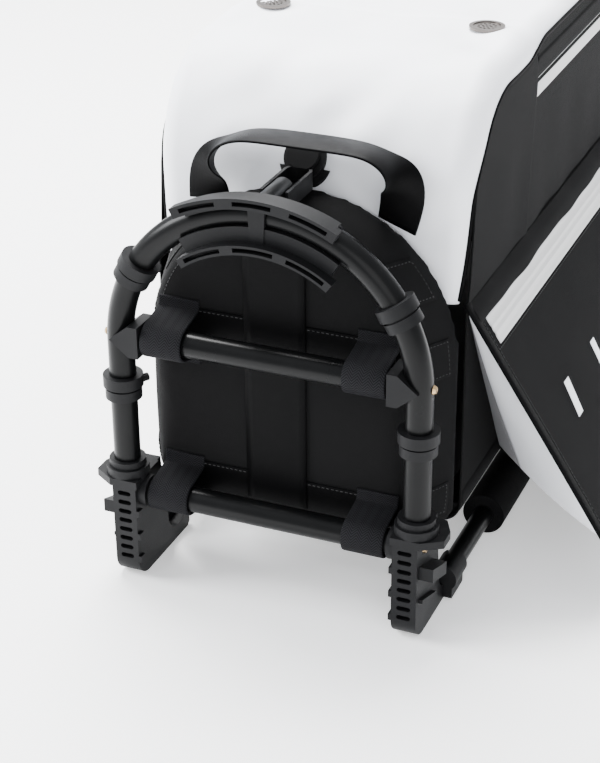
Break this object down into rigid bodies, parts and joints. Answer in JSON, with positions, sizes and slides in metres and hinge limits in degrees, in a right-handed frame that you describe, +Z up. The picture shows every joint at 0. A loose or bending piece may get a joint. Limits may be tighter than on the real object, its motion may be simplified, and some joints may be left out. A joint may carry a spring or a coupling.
{
  "type": "wheeled skate bag",
  "caption": "Long soft bag for skates and kit on a bent-tube chassis: feet under the near arch, wheels at the far end, zipped lid, grab handle and flared side pocket.",
  "frame": {"origin": "on the floor, under the middle of the bounding box", "axes": "+Z up; +Y from the standing end towards the wheeled end; +X across, towards the pocket side"},
  "size_m": [0.482, 0.962, 0.5093],
  "materials": {
    "tube": "satin black powder coat",
    "moulding": "fine moulded grain",
    "rubber": "matt",
    "foam": "closed-cell foam under woven cover",
    "screw": "yellow passivated",
    "steel": "zinc plated",
    "tyre": "cast polyurethane",
    "hub": "moulded",
    "board": "sheet",
    "black_fabric": "plain-weave coated polyester",
    "white_fabric": "smooth coated cloth",
    "zip_tape": "ribbed zip tape",
    "zip_metal": "gunmetal",
    "webbing": "herringbone webbing",
    "vent_metal": "antique nickel"
  },
  "bodies": {
    "chassis": {"front_arch_tube": "tube", "front_upper_crossbar": "tube", "front_lower_crossbar": "tube", "rear_arch_tube": "tube", "rear_upper_crossbar": "tube", "rear_lower_crossbar": "tube", "front_saddle_right": "moulding", "front_saddle_left": "moulding", "rear_saddles": "moulding", "front_collar_upper_left": "moulding", "front_collar_lower_left": "moulding", "front_collar_upper_right": "moulding", "front_collar_lower_right": "moulding", "rear_collars": "moulding", "front_bumper": "moulding", "frame_screws": "screw", "foot_right": "moulding", "foot_left": "moulding", "rail_right": "tube", "rail_left": "tube", "rail_sleeve_right": "foam", "rail_sleeve_left": "foam", "wheel_bracket_right": "moulding", "wheel_bracket_left": "moulding", "wheel_axle_right": "steel", "wheel_axle_left": "steel", "bag_side_right": "black_fabric", "bag_side_left": "black_fabric", "bag_floor": "black_fabric", "bag_lower_ends": "black_fabric", "bag_end_panel": "white_fabric", "bag_far_panel": "white_fabric", "base_board": "board", "front_cap": "black_fabric", "rear_cap": "black_fabric", "side_pocket": "black_fabric", "main_zip_tape_lower": "zip_tape", "pocket_zip_tape": "zip_tape", "front_bar_loops": "webbing", "rear_bar_loops": "webbing", "arch_loops": "webbing", "lid_vents": "vent_metal", "anchor_stub": "tube", "anchor_bracket": "moulding", "anchor_boot": "rubber", "anchor_plate": "board"},
    "lid": {"bag_lid": "white_fabric", "main_zip_tape_upper": "zip_tape"},
    "wheel_left": {"wheel_tyre_left": "tyre", "wheel_hub_left": "hub", "wheel_bearings_left": "steel"},
    "wheel_right": {"wheel_tyre_right": "tyre", "wheel_hub_right": "hub", "wheel_bearings_right": "steel"},
    "handle": {"grab_handle": "webbing"},
    "main_slider": {"main_zip_slider": "zip_metal"},
    "main_pull": {"main_zip_pull": "zip_metal"},
    "pocket_slider": {"pocket_zip_slider": "zip_metal"},
    "pocket_pull": {"pocket_zip_pull": "zip_metal"}
  },
  "joints": [
    {"name": "lid_fold", "type": "hinge", "parent": "chassis", "child": "lid", "pos_m": [-0.061, -0.1505, 0.507], "axis": [1, 0, 0], "range_deg": [0, 100]},
    {"name": "wheel_left_spin", "type": "hinge", "parent": "chassis", "child": "wheel_left", "pos_m": [-0.211, 0.445, 0.036], "axis": [1, 0, 0], "continuous": true},
    {"name": "wheel_right_spin", "type": "hinge", "parent": "chassis", "child": "wheel_right", "pos_m": [0.089, 0.445, 0.036], "axis": [1, 0, 0], "continuous": true},
    {"name": "handle_sway", "type": "hinge", "parent": "chassis", "child": "handle", "pos_m": [-0.061, -0.367, 0.36867], "axis": [1, 0, 0], "range_deg": [-6, 22], "stiffness_Nm_per_rad": 0.15},
    {"name": "main_zip_travel", "type": "slide", "parent": "chassis", "child": "main_slider", "axis": [0, -1, 0], "range_m": [0, 0.314]},
    {"name": "main_pull_swing", "type": "hinge", "parent": "main_slider", "child": "main_pull", "pos_m": [0.1074, 0.185, 0.455], "axis": [0, 0, -1], "range_deg": [0, 175]},
    {"name": "pocket_zip_travel", "type": "slide", "parent": "chassis", "child": "pocket_slider", "axis": [0, -1, 0], "range_m": [0, 0.471]},
    {"name": "pocket_pull_swing", "type": "hinge", "parent": "pocket_slider", "child": "pocket_pull", "pos_m": [0.12619, 0.165, 0.27326], "axis": [0.5459, 0, -0.8378], "range_deg": [0, 175]}
  ]
}
